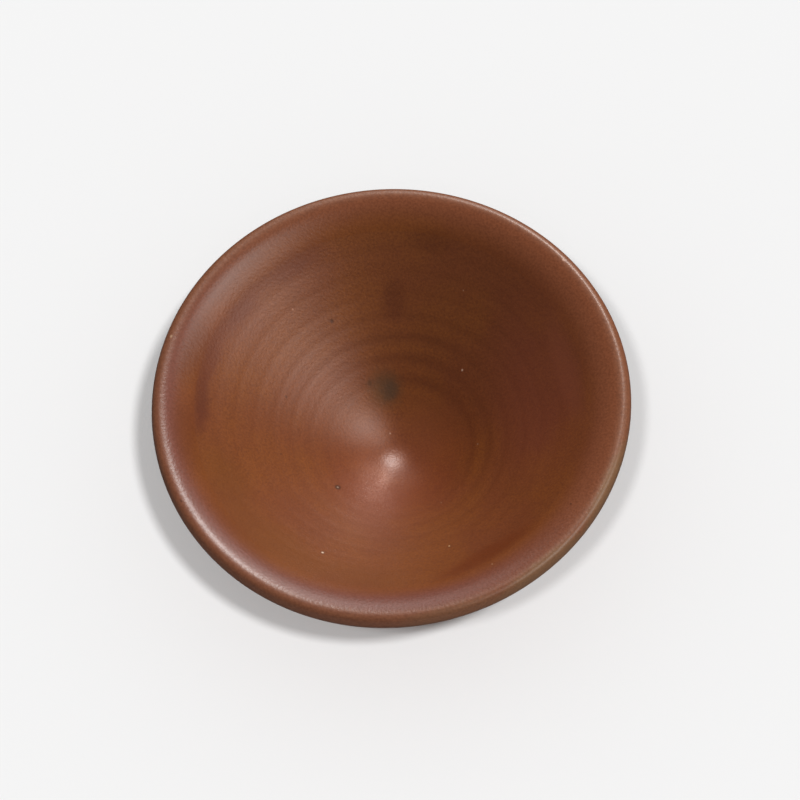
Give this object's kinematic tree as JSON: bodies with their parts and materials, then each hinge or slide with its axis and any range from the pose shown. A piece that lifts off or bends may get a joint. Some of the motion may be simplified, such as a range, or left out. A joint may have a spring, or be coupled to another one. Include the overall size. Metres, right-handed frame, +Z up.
{
  "type": "tea bowl",
  "caption": "Conical stoneware tea bowl with an everted lip and a small foot ring, coated in a satin russet-brown iron glaze that stops above the bare foot.",
  "frame": {"origin": "centre of the foot ring's resting face, on the table", "axes": "+Z up along the axis of throwing, about which the bowl is round; the picture was taken from the -Y side"},
  "size_m": [0.13, 0.13, 0.0485],
  "materials": {
    "stoneware_clay": "bare fired stoneware, turned, dry and slightly gritty",
    "russet_glaze": "satin iron-brown glaze with faint throwing rings and pinholes",
    "lip_glaze": "satin iron-brown glaze, thinner and mauve-brown where it breaks over the lip",
    "pooled_glaze": "thick dark glossy glaze where the outside coat ran and stopped"
  },
  "bodies": {
    "root": {"clay_bowl": "stoneware_clay", "foot_ring": "stoneware_clay", "inside_glaze": "russet_glaze", "lip_glaze": "lip_glaze", "outside_glaze": "russet_glaze", "glaze_roll": "pooled_glaze"}
  },
  "joints": []
}
